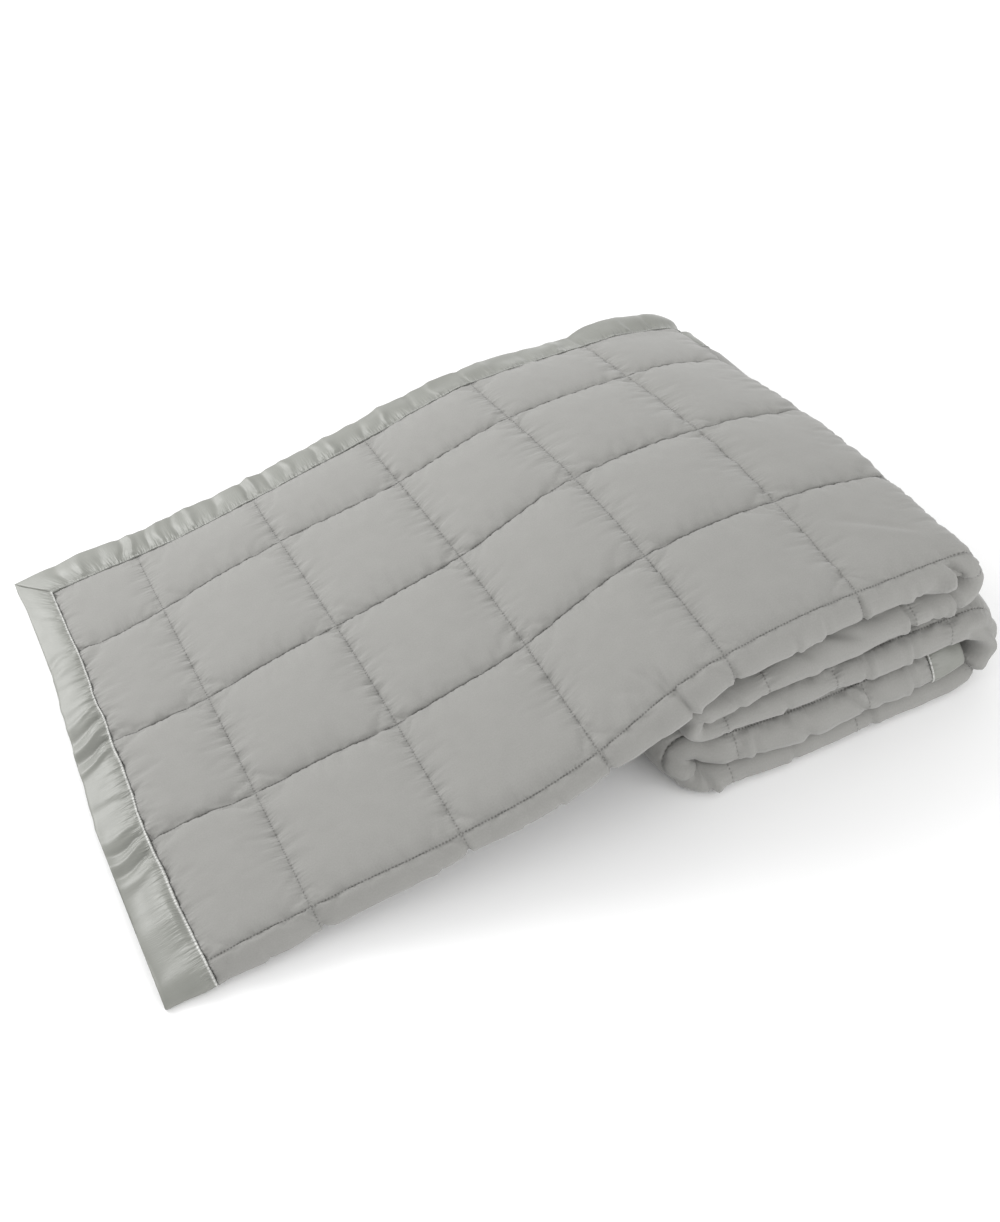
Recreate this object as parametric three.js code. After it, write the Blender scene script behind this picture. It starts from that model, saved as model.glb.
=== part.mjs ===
// Down alternative blanket with satin binding, folded for display.
//
// The blanket is a square quilt with sewn square channels and a satin binding on
// all four edges. It is folded in half twice along its length into a long strip,
// four plies thick, and the strip is then folded back and forth. The first run of
// the strip lies on top, slopes down over the end of the pile and rests on the
// surface beside it. Millimetres, +Z up. The origin is under the middle of the
// folded blanket, on the surface that it rests on.
import * as THREE from 'three';

// ---------- driving dimensions ----------
const SQUARE = 145; // side of one quilted square
const BINDING = 0.30; // width of the satin binding, in squares
const JOIN = 0.004; // space between quilt and binding, in squares, about 0.6 mm
const MITRE = 0.003; // space between two mitred bindings, in squares
const MIDDLE = { x: 2.775, y: -0.114 }; // middle of the plan, in squares
const RISE = 0.75; // depth of the outer plies in the strip, 1 is the strip's face
const INSET = 0.25; // depth of the inner plies in the strip
const PLY_CROWN = 0.22; // half thickness of a ply in the middle of a square
const PLY_PUFF = 0.40; // the same on the strip's outer side, where nothing presses on it
const PLY_SEAM = 0.09; // half thickness of a ply on a seam
const PLY_BINDING = 0.19; // half thickness of the satin binding
const SHOULDER = 0.15; // distance from a seam to the flat of the crown, in squares

// ---------- the strip's cross section, all in squares ----------
// Across is measured over the cloth from the seam of the binding on top.
const FAR_SEAM = 1.66; // seam of the satin binding on the far edge
const NEAR_NOSE = -1.97; // centre of the fold along the near edge
const FAR_NOSE = 1.72; // centre of the fold along the far edge
const INNER_NOSE = -1.84; // centre of the fold inside the near edge
const HALF_NOMINAL = 0.10; // half thickness that the lengths are measured with

const turnOut = Math.PI * RISE * HALF_NOMINAL;
const turnIn = Math.PI * INSET * HALF_NOMINAL;
const SECTION = [
  { name: 'top ply', length: FAR_SEAM - NEAR_NOSE, y: FAR_SEAM, step: -1, depth: RISE, face: 1 },
  { name: 'near fold', length: turnOut, y: NEAR_NOSE, centre: 0, radius: RISE, from: 90, to: 270, face: 1 },
  { name: 'bottom ply', length: FAR_NOSE - NEAR_NOSE, y: NEAR_NOSE, step: 1, depth: -RISE, face: -1 },
  { name: 'far fold', length: turnIn, y: FAR_NOSE, centre: -0.5, radius: INSET, from: -90, to: 90, face: 1 },
  { name: 'third ply', length: FAR_NOSE - INNER_NOSE, y: FAR_NOSE, step: -1, depth: -INSET, face: 1 },
  { name: 'inner fold', length: turnIn, y: INNER_NOSE, centre: 0, radius: INSET, from: 270, to: 90, face: -1 },
  { name: 'second ply', length: FAR_SEAM - INNER_NOSE, y: INNER_NOSE, step: 1, depth: INSET, face: -1 },
];

// ---------- the strip's run, seen from the near side, in squares ----------
// Heights of the middle of the strip. Each run ends at the centre of its turn.
const RUN_1 = [
  { x: -0.33, z: 0.034 },
  { x: 0.00, z: 0.078 },
  { x: 0.70, z: 0.165 },
  { x: 1.68, z: 0.395 },
  { x: 2.65, z: 0.675 },
  { x: 3.10, z: 0.865 },
  { x: 3.58, z: 1.020 },
  { x: 4.00, z: 1.090 },
  { x: 4.58, z: 1.105 },
  { x: 5.37, z: 1.100 },
];
const RUN_2 = [
  { x: 5.37, z: 0.845 },
  { x: 4.80, z: 0.850 },
  { x: 4.20, z: 0.830 },
  { x: 3.44, z: 0.745 },
];
const RUN_3 = [
  { x: 3.44, z: 0.563 },
  { x: 4.20, z: 0.590 },
  { x: 5.47, z: 0.592 },
];
const RUN_5 = [
  { x: 5.47, z: 0.106 },
  { x: 3.43, z: 0.106 },
];
const RUN_4 = [
  { x: 3.43, z: 0.340 },
  { x: 4.40, z: 0.350 },
  { x: 5.52, z: 0.348 },
];

// Half thickness of the strip and its shift toward the near side, by distance
// along the strip from the seam of the exposed end.
const BODY = [
  { along: -0.33, half: 0.042, shift: 0.00 },
  { along: 0.00, half: 0.088, shift: 0.00 },
  { along: 0.50, half: 0.098, shift: 0.00 },
  { along: 1.70, half: 0.102, shift: -0.03 },
  { along: 2.80, half: 0.104, shift: -0.06 },
  { along: 3.60, half: 0.104, shift: -0.05 },
  { along: 4.50, half: 0.106, shift: -0.01 },
  { along: 5.50, half: 0.108, shift: 0.00 },
  { along: 5.92, half: 0.118, shift: -0.03 },
  { along: 7.00, half: 0.116, shift: -0.03 },
  { along: 7.84, half: 0.086, shift: -0.03 },
  { along: 8.13, half: 0.086, shift: -0.03 },
  { along: 9.00, half: 0.106, shift: -0.04 },
  { along: 10.16, half: 0.108, shift: -0.06 },
  { along: 10.93, half: 0.108, shift: -0.10 },
  { along: 12.97, half: 0.108, shift: -0.10 },
  { along: 13.34, half: 0.108, shift: -0.05 },
  { along: 15.10, half: 0.104, shift: -0.05 },
  { along: 15.50, half: 0.070, shift: -0.05 },
];

// Seams across the strip, by distance along it, and seams along it, by distance
// across the cloth.
const CROSS_SEAMS = [0, 0.7, 1.7, 2.7, 3.7, 4.7, 5.73, 6.8, 7.8, 8.9, 9.9, 10.8, 11.7, 12.6, 13.5, 14.5, 15.11];
const LONG_SEAMS = [0, 0.7, 1.7, 2.7, 3.7];

// The far side of the pile is thinner, as its edges are bindings, not folds.
const SINK = { from: -1.0, reach: 2.95, power: 1.4, pile: 0.40, end: 0.58 };

// ---------- helpers ----------
const PI = Math.PI;

// value of a smooth curve through a table that never overshoots its rows
function smooth(table, key, value, at) {
  const rows = table[0][key] > table[table.length - 1][key] ? [...table].reverse() : table;
  const last = rows.length - 1;
  const slope = [];
  for (let i = 0; i < last; i += 1) {
    slope.push((rows[i + 1][value] - rows[i][value]) / (rows[i + 1][key] - rows[i][key]));
  }
  const tangent = rows.map((row, i) => {
    if (i === 0 || i === last || slope[i - 1] * slope[i] <= 0) return 0;
    return (2 * slope[i - 1] * slope[i]) / (slope[i - 1] + slope[i]);
  });
  let i = 0;
  while (i < last - 1 && at > rows[i + 1][key]) i += 1;
  const width = rows[i + 1][key] - rows[i][key];
  const t = Math.min(1, Math.max(0, (at - rows[i][key]) / width));
  const a = rows[i][value] * (1 + 2 * t) * (1 - t) ** 2 + rows[i + 1][value] * t * t * (3 - 2 * t);
  return a + width * (tangent[i] * t * (1 - t) ** 2 - tangent[i + 1] * t * t * (1 - t));
}

// points of a run, from its first row to its last
function runPoints(table, count) {
  const from = table[0].x;
  const to = table[table.length - 1].x;
  const points = [];
  for (let i = 0; i <= count; i += 1) {
    const x = from + ((to - from) * i) / count;
    points.push([x, smooth(table, 'x', 'z', x)]);
  }
  return points;
}

// points of a turn between two runs, side +1 bulges to the right, -1 to the left
function turnPoints(a, b, side, count) {
  const centre = (a[1] + b[1]) / 2;
  const radius = Math.abs(a[1] - b[1]) / 2;
  const start = a[1] > b[1] ? PI / 2 : -PI / 2;
  const points = [];
  for (let i = 1; i < count; i += 1) {
    const angle = start * (1 - (2 * i) / count);
    points.push([a[0] + side * radius * Math.cos(angle), centre + radius * Math.sin(angle)]);
  }
  return points;
}

const runs = [RUN_1, RUN_2, RUN_3, RUN_5, RUN_4].map((table, i) => runPoints(table, i === 0 ? 400 : 120));
const turnSides = [1, -1, 1, -1];
const line = [];
const turnMarks = [];
runs.forEach((points, i) => {
  line.push(...points);
  if (i === runs.length - 1) return;
  const from = line.length - 1;
  const next = runs[i + 1][0];
  line.push(...turnPoints(points[points.length - 1], next, turnSides[i], 60));
  turnMarks.push([from, line.length]);
});
const along = [0];
for (let i = 1; i < line.length; i += 1) {
  along.push(along[i - 1] + Math.hypot(line[i][0] - line[i - 1][0], line[i][1] - line[i - 1][1]));
}
const startAt = along[line.findIndex((p) => p[0] >= 0)];
for (let i = 0; i < along.length; i += 1) along[i] -= startAt;
const END_SEAM = along[along.length - 1] - BINDING;

// middle of the strip and its normal at a distance along it
function strip(u) {
  let i = along.findIndex((a) => a > u);
  if (i < 1) i = u <= along[0] ? 1 : along.length - 1;
  const t = (u - along[i - 1]) / (along[i] - along[i - 1]);
  const x = line[i - 1][0] + t * (line[i][0] - line[i - 1][0]);
  const z = line[i - 1][1] + t * (line[i][1] - line[i - 1][1]);
  const before = line[Math.max(0, i - 2)];
  const after = line[Math.min(line.length - 1, i + 1)];
  const size = Math.hypot(after[0] - before[0], after[1] - before[1]);
  return { x, z, nx: -(after[1] - before[1]) / size, nz: (after[0] - before[0]) / size };
}

// place across the section and the direction of the cloth's upper face there
function section(w, half) {
  let rest = w;
  let i = 0;
  while (i < SECTION.length - 1 && rest > SECTION[i].length) {
    rest -= SECTION[i].length;
    i += 1;
  }
  const part = SECTION[i];
  if (part.radius === undefined) {
    return { y: part.y + part.step * rest, depth: part.depth, fy: 0, fz: part.face };
  }
  const angle = ((part.from + ((part.to - part.from) * rest) / part.length) * PI) / 180;
  const c = Math.cos(angle);
  const d = Math.sin(angle);
  return {
    y: part.y + part.radius * half * c,
    depth: part.centre + part.radius * d,
    fy: part.face * c,
    fz: part.face * d,
  };
}

// the folded place of a point of the cloth: u along, w across, t from its middle
function folded(u, w, t) {
  const half = smooth(BODY, 'along', 'half', u);
  const shift = smooth(BODY, 'along', 'shift', u);
  const at = strip(u);
  const cut = section(w, half);
  const y = cut.y + cut.fy * t * half + shift;
  const depth = (cut.depth + cut.fz * t) * half;
  const x = at.x + at.nx * depth;
  const lift = at.z + at.nz * depth;
  const settle = Math.min(1, Math.max(0, x / 2));
  const amount = SINK.end + (SINK.pile - SINK.end) * settle;
  const sunk = 1 - amount * Math.max(0, (y - SINK.from) / SINK.reach) ** SINK.power;
  const z = Math.max(0, lift * sunk);
  return [(x - MIDDLE.x) * SQUARE, (y - MIDDLE.y) * SQUARE, z * SQUARE];
}

// 0 on a seam, 1 on the flat of the crown
function crown(at, seams) {
  const gap = Math.min(...seams.map((s) => Math.abs(at - s)));
  return Math.sin((Math.min(1, gap / SHOULDER) * PI) / 2);
}

// a closed sheet over rows of cloth places, u and w of each given, with thickness
function closedSheet(places, thickness) {
  const rows = places.length;
  const cols = places[0].length;
  const vertices = [];
  const index = (face, r, c) => face * rows * cols + r * cols + c;
  [1, -1].forEach((face) => {
    places.forEach((row) => {
      row.forEach(([u, w]) => vertices.push(...folded(u, w, face * thickness(u, w, face))));
    });
  });
  const triangles = [];
  const quad = (a, b, c, d) => triangles.push(a, b, c, a, c, d);
  for (let r = 0; r < rows - 1; r += 1) {
    for (let c = 0; c < cols - 1; c += 1) {
      quad(index(0, r, c), index(0, r, c + 1), index(0, r + 1, c + 1), index(0, r + 1, c));
      quad(index(1, r, c), index(1, r + 1, c), index(1, r + 1, c + 1), index(1, r, c + 1));
    }
  }
  for (let r = 0; r < rows - 1; r += 1) {
    quad(index(0, r, 0), index(0, r + 1, 0), index(1, r + 1, 0), index(1, r, 0));
    const e = cols - 1;
    quad(index(0, r, e), index(1, r, e), index(1, r + 1, e), index(0, r + 1, e));
  }
  for (let c = 0; c < cols - 1; c += 1) {
    quad(index(0, 0, c), index(1, 0, c), index(1, 0, c + 1), index(0, 0, c + 1));
    const e = rows - 1;
    quad(index(0, e, c), index(0, e, c + 1), index(1, e, c + 1), index(1, e, c));
  }
  const geometry = new THREE.BufferGeometry();
  geometry.setAttribute('position', new THREE.Float32BufferAttribute(vertices, 3));
  geometry.setIndex(triangles);
  geometry.computeVertexNormals();
  return geometry;
}

// ---------- stations of the grid ----------
function between(from, to, count) {
  return Array.from({ length: count }, (_, i) => from + ((to - from) * (i + 1)) / count);
}

const turns = turnMarks.map(([a, b]) => [along[a], along[b]]);
const ALONG = [0];
const addSeams = (to) => {
  const from = ALONG[ALONG.length - 1];
  const inside = CROSS_SEAMS.filter((s) => s > from + 0.12 && s < to - 0.12);
  [...inside, to].forEach((stop) => {
    const start = ALONG[ALONG.length - 1];
    const gap = stop - start;
    if (gap > 0.4) ALONG.push(start + SHOULDER, stop - SHOULDER);
    ALONG.push(stop);
  });
};
turns.forEach(([from, to], i) => {
  addSeams(from);
  ALONG.push(...between(from, to, i === 2 ? 6 : 4));
});
addSeams(END_SEAM);

const lengths = SECTION.map((part) => part.length);
const starts = lengths.map((_, i) => lengths.slice(0, i).reduce((a, b) => a + b, 0));
const ACROSS_END = starts[6] + lengths[6];
const ACROSS = [
  0, 0.15, 0.55, 0.7, 0.85, 1.55, 1.7, 1.85, 2.55, 2.7, 2.85, 3.45,
  starts[1], ...between(starts[1], starts[2], 5),
  ...between(starts[2], starts[3], 3),
  ...between(starts[3], starts[4], 2),
  ...between(starts[4], starts[5], 2),
  ...between(starts[5], starts[6], 2),
  ...between(starts[6], ACROSS_END, 3),
];

// ---------- pieces ----------
function plyThickness(u, w, face) {
  const onTop = w <= starts[1] + turnOut * 0.5;
  const b = crown(u, CROSS_SEAMS) * (onTop ? crown(w, LONG_SEAMS) : 1);
  const outer = face > 0 && w < starts[3];
  return PLY_SEAM + ((outer ? PLY_PUFF : PLY_CROWN) - PLY_SEAM) * b;
}

const group = new THREE.Group();
group.name = 'down_alternative_blanket';

const quiltCloth = new THREE.MeshStandardMaterial({ color: 0xaaa9a5, roughness: 0.9, metalness: 0 });
const satin = new THREE.MeshStandardMaterial({ color: 0xb2b1ac, roughness: 0.4, metalness: 0 });
quiltCloth.name = 'quilted_cloth';
satin.name = 'satin';

function add(name, geometry, material) {
  const mesh = new THREE.Mesh(geometry, material.clone());
  mesh.name = name;
  group.add(mesh);
}

const quiltPlaces = ALONG.map((u) => ACROSS.map((w) => [u, w]));
add('quilted_panel', closedSheet(quiltPlaces, plyThickness), quiltCloth);

const bindingThickness = () => PLY_BINDING;

// binding along a long edge, mitred at both ends
function sideBinding(seam, out) {
  const inner = seam + out * JOIN;
  const outer = seam + out * BINDING;
  const stops = [0, ...ALONG.filter((u) => u > 0.1 && u < END_SEAM - 0.1), END_SEAM];
  return stops.map((u, i) => {
    if (i === 0) return [[MITRE, inner], [-BINDING + MITRE, outer]];
    if (i === stops.length - 1) return [[END_SEAM - MITRE, inner], [END_SEAM + BINDING - MITRE, outer]];
    return [[u, inner], [u, outer]];
  });
}

// binding along a short edge, mitred at both ends
function endBinding(seam, out) {
  const inner = seam + out * JOIN;
  const outer = seam + out * BINDING;
  const stops = ACROSS.slice(1, -1);
  const rows = stops.map((w) => [[inner, w], [outer, w]]);
  rows.unshift([[inner, MITRE], [outer, -BINDING + MITRE]]);
  rows.push([[inner, ACROSS_END - MITRE], [outer, ACROSS_END + BINDING - MITRE]]);
  return rows;
}

function flipped(rows) {
  return rows.map((row) => [...row].reverse());
}

add('satin_side_top', closedSheet(flipped(sideBinding(0, -1)), bindingThickness), satin);
add('satin_side_inner', closedSheet(sideBinding(ACROSS_END, 1), bindingThickness), satin);
add('satin_end_exposed', closedSheet(endBinding(0, -1), bindingThickness), satin);
add('satin_end_tucked', closedSheet(flipped(endBinding(END_SEAM, 1)), bindingThickness), satin);

export default group;
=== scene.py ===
"""A down alternative blanket with satin binding, folded back and forth on a pale floor."""
import math

import bpy
import numpy as np
from mathutils import Matrix


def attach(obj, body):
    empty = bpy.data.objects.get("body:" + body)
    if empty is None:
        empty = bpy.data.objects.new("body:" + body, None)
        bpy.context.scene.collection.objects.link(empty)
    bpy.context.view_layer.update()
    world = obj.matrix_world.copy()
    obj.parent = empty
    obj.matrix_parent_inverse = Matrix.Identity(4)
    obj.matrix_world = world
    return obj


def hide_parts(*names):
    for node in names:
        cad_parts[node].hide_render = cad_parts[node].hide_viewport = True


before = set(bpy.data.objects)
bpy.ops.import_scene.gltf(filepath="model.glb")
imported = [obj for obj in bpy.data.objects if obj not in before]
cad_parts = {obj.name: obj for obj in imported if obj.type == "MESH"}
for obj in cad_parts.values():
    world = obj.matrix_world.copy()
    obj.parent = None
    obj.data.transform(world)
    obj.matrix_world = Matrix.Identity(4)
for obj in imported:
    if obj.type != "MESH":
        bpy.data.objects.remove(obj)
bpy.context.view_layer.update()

# ======================================================================
# The quilt's first run. A microfibre shell over a thin polyester filling,
# sewn through in squares. It is folded in half twice into a strip of four
# plies, and this run of the strip slopes over the end of the pile.
# ======================================================================

SQUARE = 0.145  # side of one sewn square; all that follows is in squares unless it says metres
MIDDLE = (2.775, -0.135)  # middle of the folded blanket's plan
BINDING = 0.30  # width of the satin binding
OUTER = 0.75  # depth of the outer plies in the strip, 1 is the strip's face
INNER = 0.25  # depth of the inner plies
PLAIN_HALF = 0.10  # half thickness of the strip where its turns are laid out
SEAM_HALF = 0.09  # half thickness of a ply where it is sewn down, of the strip's half thickness
CROWN_HALF = 0.22  # the same on a crown that lies inside the strip

# Middle of the strip seen from the near side: rows of (place, height), each run
# ending at the centre of its turn. Turns go right, left, right and left.
TOP_RUN = ((-0.33, 0.034), (0.00, 0.082), (0.70, 0.183), (1.68, 0.402), (2.65, 0.673),
           (3.10, 0.857), (3.58, 1.045), (4.00, 1.085), (4.58, 1.108), (5.33, 1.100))
SECOND_RUN = ((5.33, 0.845), (4.80, 0.850), (4.20, 0.830), (3.44, 0.745))
THIRD_RUN = ((3.44, 0.563), (4.20, 0.590), (5.47, 0.592))
BOTTOM_RUN = ((5.47, 0.106), (3.43, 0.106))
LAST_RUN = ((3.43, 0.340), (4.40, 0.350), (5.52, 0.348))

# Rows of (distance along the strip, half thickness, shift to the near side)
BODY = ((-0.33, 0.042, -0.05), (0.00, 0.088, -0.04), (0.50, 0.098, -0.03), (1.70, 0.102, -0.03),
        (2.80, 0.104, -0.05), (3.60, 0.104, -0.03), (4.50, 0.106, 0.02), (5.50, 0.108, 0.03),
        (5.92, 0.118, -0.02), (7.00, 0.116, -0.045), (7.84, 0.086, -0.03), (8.13, 0.086, -0.03),
        (9.00, 0.106, -0.07), (10.16, 0.108, -0.09), (10.93, 0.108, -0.13), (12.80, 0.108, -0.13),
        (13.14, 0.108, 0.06), (13.45, 0.108, -0.08), (14.20, 0.106, -0.13), (15.10, 0.104, -0.11),
        (15.50, 0.070, -0.08))

# The strip's section across the cloth: (length, start, way, middle of a fold, its
# radius, its first and last angle, side of the cloth that faces out). Places are
# from the middle of the plan, depths are parts of the half thickness.
FAR_SEAM, NEAR_NOSE, FAR_NOSE, INNER_NOSE = 1.66, -1.87, 1.72, -1.84
NOSE_REACH = 0.19  # how far the near fold of the outer plies reaches past its start
# It reaches less at the strip's first end: rows of (distance along, share that is missing).
NOSE_TUCK = ((-0.33, 0.32), (0.90, 0.30), (1.70, 0.06), (2.40, 0.0), (5.60, 0.0))
NOSE_SAG = 0.35  # how far its edge hangs below the strip's middle, of the half thickness
NOSE_ANGLES = np.radians(np.linspace(90, 270, 91))
NOSE_DEPTHS = OUTER * np.sin(NOSE_ANGLES) - NOSE_SAG * np.cos(NOSE_ANGLES) ** 2
NOSE_PATH = np.stack([NOSE_REACH * np.cos(NOSE_ANGLES), PLAIN_HALF * NOSE_DEPTHS])
NOSE_LENGTHS = np.append(0, np.cumsum(np.hypot(*np.diff(NOSE_PATH, axis=1))))
INNER_TURN = math.pi * INNER * PLAIN_HALF
PLIES = (
    dict(length=FAR_SEAM - NEAR_NOSE, y=FAR_SEAM, way=-1, depth=OUTER, face=1),
    dict(length=NOSE_LENGTHS[-1], y=NEAR_NOSE, face=1),
    dict(length=FAR_NOSE - NEAR_NOSE, y=NEAR_NOSE, way=1, depth=-OUTER, face=-1),
    dict(length=INNER_TURN, y=FAR_NOSE, centre=-0.5, radius=INNER, turn=(-90, 90), face=1),
    dict(length=FAR_NOSE - INNER_NOSE, y=FAR_NOSE, way=-1, depth=-INNER, face=1),
    dict(length=INNER_TURN, y=INNER_NOSE, centre=0.0, radius=INNER, turn=(270, 90), face=-1),
    dict(length=FAR_SEAM - INNER_NOSE, y=INNER_NOSE, way=1, depth=INNER, face=-1),
)
PLY_STARTS = np.concatenate([[0.0], np.cumsum([ply["length"] for ply in PLIES])])
FAR_FOLD, ACROSS_END = PLY_STARTS[3], PLY_STARTS[-1]

# The near fold hangs down in every run, so its sag changes sign where the strip is turned
# over: rows of (distance along the strip, sag).
HANG = ((-0.33, NOSE_SAG), (5.30, NOSE_SAG), (5.90, -0.08), (7.60, -0.08), (8.20, NOSE_SAG),
        (10.00, NOSE_SAG), (10.90, -0.20), (12.80, -0.20), (13.50, 0.85), (15.50, 0.90))

# The far side is lower, because single bindings lie there and not folds: from this place
# on, the height is cut by an amount that grows to the far edge, in rows of (place, amount).
SINK_START, SINK_REACH, SINK_POWER = -1.0, 2.95, 1.6
SINK = ((-0.30, 0.60), (0.90, 0.52), (1.70, 0.37), (2.70, 0.33), (3.70, 0.385), (4.70, 0.43), (5.60, 0.47))

# The turns at the right end are not quite square to the strip in the upper runs: rows of
# (place across, how much farther they reach). Their far part also droops.
SKEW = ((-2.12, 0.11), (-1.85, 0.04), (-1.00, 0.00), (0.00, -0.02), (1.00, -0.08), (1.90, -0.06))
DROOP = 0.07
DROOP_GROWS = -1.9, 0.6  # between these places across
UPPER_RUNS = 0.55, 0.85  # between these heights
RIGHT_END = 4.7, 5.5  # between these places along

# The far binding does not lie just as the quilt slopes: rows of (place, how much higher).
FAR_LIFT = ((-0.30, -0.03), (0.60, 0.01), (1.50, -0.02), (2.40, -0.01), (3.40, -0.01), (4.40, -0.03),
            (5.00, 0.06), (5.60, 0.09))
LIFT_GROWS = 1.5, 1.95  # between these places across
LIFT_ENDS = 5.4, 5.7  # between these distances along the strip

# The sewn squares are not laid out quite evenly. Rows of (distance along, how far the seam
# wanders to the near side in millimetres) for each long seam that shows, and rows of
# (distance across, how far the cloth is pushed along) at the first seam and farther on.
WANDER = {
    0.0: ((0, 0), (1, 0)),
    0.665: ((0, 4), (0.25, 8), (0.6, 2), (1.2, -9), (1.75, -11), (2.3, -5), (3.0, -2), (5.0, 0), (5.6, 4)),
    1.67: ((0, -3), (0.3, 2), (0.7, 0), (1.4, -4), (2.3, 0), (2.9, 0), (3.5, -4), (4.3, -7),
           (4.8, -4), (5.6, 7)),
    2.64: ((0, -10), (0.6, -4), (1.2, 0), (1.7, 6), (2.4, 7), (2.8, 4), (3.5, -2), (4.2, -5),
           (4.8, -3), (5.6, 9)),
    3.61: ((0, -4), (0.8, -2), (1.4, 3), (2.2, 6), (2.6, 4), (3.4, -2), (4.4, -1), (5.6, 1)),
    4.62: ((0, 0), (1, 0)),
}
PUSH_FIRST = ((0.0, 2), (0.67, 3), (1.67, 0), (2.64, -4), (3.61, -1), (4.62, 0))
PUSH_LATER = ((0.2, -5), (1.2, -1), (2.2, 2.5), (3.6, 3), (4.62, 0))
FIRST_FADES = 0, 0.7  # the first push dies away between these distances along
LATER_GROWS = 0.2, 2.2  # and the later one grows
EDGE_WOBBLE = 2.6  # how far the seam of the binding wobbles along the end, millimetres
WOBBLE_FADES = 0, 0.35
PUSH_ENDS = 5.0, 5.6  # past these distances along nothing is pushed
SHIFTED = 3.3, 3.7  # the shift in BODY grows between these distances across the cloth
UNSHIFTED = 0.5, 1.5  # and dies away between these places towards the far edge


def smooth(rows, at, column=1):
    """A smooth curve through rows of numbers: cubic pieces that never overshoot, whose
    slope at a row is the harmonic mean of the slopes on its two sides."""
    table = np.array(rows, float)
    if table[0, 0] > table[-1, 0]:
        table = table[::-1]
    x, y = table[:, 0], table[:, column]
    slope = np.diff(y) / np.diff(x)
    tangent = np.zeros(len(x))
    rising = slope[:-1] * slope[1:] > 0
    mean = 2 * slope[:-1] * slope[1:] / np.where(rising, slope[:-1] + slope[1:], 1)
    tangent[1:-1] = np.where(rising, mean, 0)
    i = np.clip(np.searchsorted(x, at) - 1, 0, len(x) - 2)
    width = x[i + 1] - x[i]
    t = np.clip((at - x[i]) / width, 0, 1)
    ends = y[i] * (1 + 2 * t) * (1 - t) ** 2 + y[i + 1] * t * t * (3 - 2 * t)
    return ends + width * (tangent[i] * t * (1 - t) ** 2 - tangent[i + 1] * t * t * (1 - t))


def turn(a, b, side, count=60):
    """Half a circle between the ends of two runs, bulging to the right for side 1."""
    start = math.pi / 2 if a[1] > b[1] else -math.pi / 2
    angle = start * (1 - 2 * np.arange(1, count) / count)
    radius = abs(a[1] - b[1]) / 2
    return np.stack([a[0] + side * radius * np.cos(angle), (a[1] + b[1]) / 2 + radius * np.sin(angle)], 1)


def strip_line():
    """The strip's middle line: its runs and turns one after another."""
    runs = (TOP_RUN, SECOND_RUN, THIRD_RUN, BOTTOM_RUN, LAST_RUN)
    parts = []
    for number, (run, side) in enumerate(zip(runs, (1, -1, 1, -1, 0))):
        x = np.linspace(run[0][0], run[-1][0], 401 if number == 0 else 121)
        parts.append(np.stack([x, smooth(run, x)], 1))
        if side:
            parts.append(turn(run[-1], runs[number + 1][0], side))
    return np.concatenate(parts)


LINE = strip_line()
LINE_STEPS = np.linalg.norm(np.diff(LINE, axis=0), axis=1)
ALONG = np.concatenate([[0.0], np.cumsum(LINE_STEPS)])
ALONG -= ALONG[np.argmax(LINE[:, 0] >= 0)]
TANGENT = np.gradient(LINE[:, 0], ALONG), np.gradient(LINE[:, 1], ALONG)
END_SEAM = ALONG[-1] - BINDING
SPLIT_SEAM = 5.60  # the seam on the outside of the first turn, where the run's piece ends

CROSS_SEAMS = (0, 0.705, 1.725, 2.735, 3.72, 4.725, SPLIT_SEAM, 6.2, 7.32, 8.2, 9.03, 9.95,
               10.7, 11.7, 12.7, 13.49, 14.5, END_SEAM)
LONG_SEAMS = (0, 0.665, 1.67, 2.64, 3.61, 4.62, 5.62, 6.62)


def ramp(x, start, end):
    """0 before the start, 1 after the end and a smooth step between."""
    t = np.clip((x - start) / (end - start), 0, 1)
    return t * t * (3 - 2 * t)


def section(w, half, sag):
    """Place, depth and the cloth's outward direction at a distance w across the cloth: the
    plies are level lines and their turns arcs of circles, but the near fold is half an
    ellipse, pulled down by sag times the square of its cosine."""
    number = np.clip(np.searchsorted(PLY_STARTS, w, side="right") - 1, 0, len(PLIES) - 1)
    y, depth, face_y, face_z = (np.zeros(np.broadcast(w, half).shape) for _ in range(4))
    w, half, sag, number = np.broadcast_arrays(w, half, sag, number)
    for i, ply in enumerate(PLIES):
        here = number == i
        rest = w[here] - PLY_STARTS[i]
        if "way" in ply:
            y[here] = ply["y"] + ply["way"] * rest
            depth[here] = ply["depth"]
            face_z[here] = ply["face"]
            continue
        if "turn" not in ply:
            angle = np.interp(rest, NOSE_LENGTHS, NOSE_ANGLES)
            y[here] = ply["y"] + NOSE_REACH * np.cos(angle)
            depth[here] = OUTER * np.sin(angle) - sag[here] * np.cos(angle) ** 2
            rise = PLAIN_HALF * (OUTER * np.cos(angle) + sag[here] * np.sin(2 * angle))
            run = -NOSE_REACH * np.sin(angle)
            face_y[here] = rise / np.hypot(rise, run)
            face_z[here] = -run / np.hypot(rise, run)
            continue
        first, last = ply["turn"]
        angle = np.radians(first + (last - first) * rest / ply["length"])
        y[here] = ply["y"] + ply["radius"] * half[here] * np.cos(angle)
        depth[here] = ply["centre"] + ply["radius"] * np.sin(angle)
        face_y[here] = ply["face"] * np.cos(angle)
        face_z[here] = ply["face"] * np.sin(angle)
    return y, depth, face_y, face_z


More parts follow.
